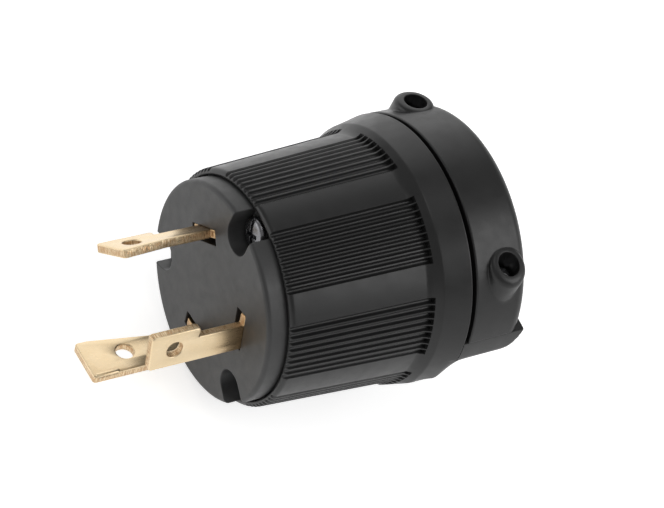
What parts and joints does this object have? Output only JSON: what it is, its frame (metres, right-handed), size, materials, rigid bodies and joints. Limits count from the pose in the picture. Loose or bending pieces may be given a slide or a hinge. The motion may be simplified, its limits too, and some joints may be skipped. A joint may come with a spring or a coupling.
{
  "type": "twist-lock power plug",
  "caption": "Round twist-lock power plug for a shore power cord: ribbed housing, locking blades in a screwed carrier, wire terminals and a cord clamp jaw on screws.",
  "frame": {"origin": "centre of the flat front face, on the plug axis", "axes": "+X runs rearward along the plug axis, +Z is the way the clamp jaw lifts, +Y completes the right-handed frame"},
  "size_m": [0.0846, 0.0584, 0.056],
  "materials": {
    "housing": "satin black nylon",
    "carrier": "fine-grained dark grey nylon",
    "retainer": "moulded grey nylon",
    "blade_brass": "polished pale brass",
    "terminal_brass": "plain brass",
    "steel": "zinc-plated steel",
    "green_screw": "green-coated steel"
  },
  "bodies": {
    "housing": {"housing": "housing", "threaded_inserts": "terminal_brass", "clamp_nuts": "steel"},
    "jaw": {"cord_clamp_jaw": "housing"},
    "clamp_screw_left": {"clamp_screw_left": "steel"},
    "clamp_screw_right": {"clamp_screw_right": "steel"},
    "carrier": {"blade_carrier": "carrier", "terminal_retainer": "retainer", "retainer_screw": "steel", "blade_neutral": "blade_brass", "blade_hot": "blade_brass", "blade_ground": "blade_brass"},
    "assembly_screw_1": {"assembly_screw_1": "steel"},
    "assembly_screw_2": {"assembly_screw_2": "steel"},
    "assembly_screw_3": {"assembly_screw_3": "steel"},
    "terminal_plate_neutral": {"terminal_plate_neutral": "terminal_brass"},
    "terminal_screw_neutral": {"terminal_screw_neutral": "steel"},
    "terminal_plate_hot": {"terminal_plate_hot": "terminal_brass"},
    "terminal_screw_hot": {"terminal_screw_hot": "terminal_brass"},
    "terminal_plate_ground": {"terminal_plate_ground": "terminal_brass"},
    "terminal_screw_ground": {"terminal_screw_ground": "green_screw"}
  },
  "joints": [
    {"name": "jaw_lift", "type": "slide", "parent": "housing", "child": "jaw", "axis": [0, 0, 1], "range_m": [0, 0.005]},
    {"name": "clamp_screw_left_turn", "type": "hinge", "parent": "jaw", "child": "clamp_screw_left", "pos_m": [0.0519, 0.021, 0.0172], "axis": [0, 0, 1], "range_deg": [0, 3600]},
    {"name": "clamp_screw_right_turn", "type": "hinge", "parent": "jaw", "child": "clamp_screw_right", "pos_m": [0.0519, -0.021, 0.0172], "axis": [0, 0, 1], "range_deg": [0, 3600]},
    {"name": "carrier_draw", "type": "slide", "parent": "housing", "child": "carrier", "axis": [-1, 0, 0], "range_m": [0, 0.008]},
    {"name": "assembly_screw_1_turn", "type": "hinge", "parent": "carrier", "child": "assembly_screw_1", "pos_m": [0.0051, 0, 0.0193], "axis": [-1, 0, 0], "range_deg": [0, 3600]},
    {"name": "assembly_screw_2_turn", "type": "hinge", "parent": "carrier", "child": "assembly_screw_2", "pos_m": [0.0051, 0.01671, -0.00965], "axis": [-1, 0, 0], "range_deg": [0, 3600]},
    {"name": "assembly_screw_3_turn", "type": "hinge", "parent": "carrier", "child": "assembly_screw_3", "pos_m": [0.0051, -0.01671, -0.00965], "axis": [-1, 0, 0], "range_deg": [0, 3600]},
    {"name": "terminal_screw_neutral_turn", "type": "hinge", "parent": "carrier", "child": "terminal_screw_neutral", "pos_m": [0.018, 0.00952, 0.00985], "axis": [0, 0.6947, 0.7193], "range_deg": [0, 1440]},
    {"name": "terminal_plate_neutral_open", "type": "slide", "parent": "carrier", "child": "terminal_plate_neutral", "axis": [0, -0.6947, -0.7193], "range_m": [0, 0.0032]},
    {"name": "terminal_screw_hot_turn", "type": "hinge", "parent": "carrier", "child": "terminal_screw_hot", "pos_m": [0.018, -0.01291, 0.00457], "axis": [0, -0.9426, 0.3338], "range_deg": [0, 1440]},
    {"name": "terminal_plate_hot_open", "type": "slide", "parent": "carrier", "child": "terminal_plate_hot", "axis": [0, 0.9426, -0.3338], "range_m": [0, 0.0032]},
    {"name": "terminal_screw_ground_turn", "type": "hinge", "parent": "carrier", "child": "terminal_screw_ground", "pos_m": [0.018, -0.00261, -0.01345], "axis": [0, -0.1908, -0.9816], "range_deg": [0, 1440]},
    {"name": "terminal_plate_ground_open", "type": "slide", "parent": "carrier", "child": "terminal_plate_ground", "axis": [0, 0.1908, 0.9816], "range_m": [0, 0.0032]}
  ],
  "couplings": [
    {"joint": "clamp_screw_left_turn", "follows": "jaw_lift", "rad_per_m": 12566},
    {"joint": "clamp_screw_right_turn", "follows": "jaw_lift", "rad_per_m": 12566},
    {"joint": "assembly_screw_1_turn", "follows": "carrier_draw", "rad_per_m": 7853.9},
    {"joint": "assembly_screw_2_turn", "follows": "carrier_draw", "rad_per_m": 7853.9},
    {"joint": "assembly_screw_3_turn", "follows": "carrier_draw", "rad_per_m": 7853.9},
    {"joint": "terminal_screw_neutral_turn", "follows": "terminal_plate_neutral_open", "rad_per_m": 7853.9},
    {"joint": "terminal_screw_hot_turn", "follows": "terminal_plate_hot_open", "rad_per_m": 7853.9},
    {"joint": "terminal_screw_ground_turn", "follows": "terminal_plate_ground_open", "rad_per_m": 7853.9}
  ]
}
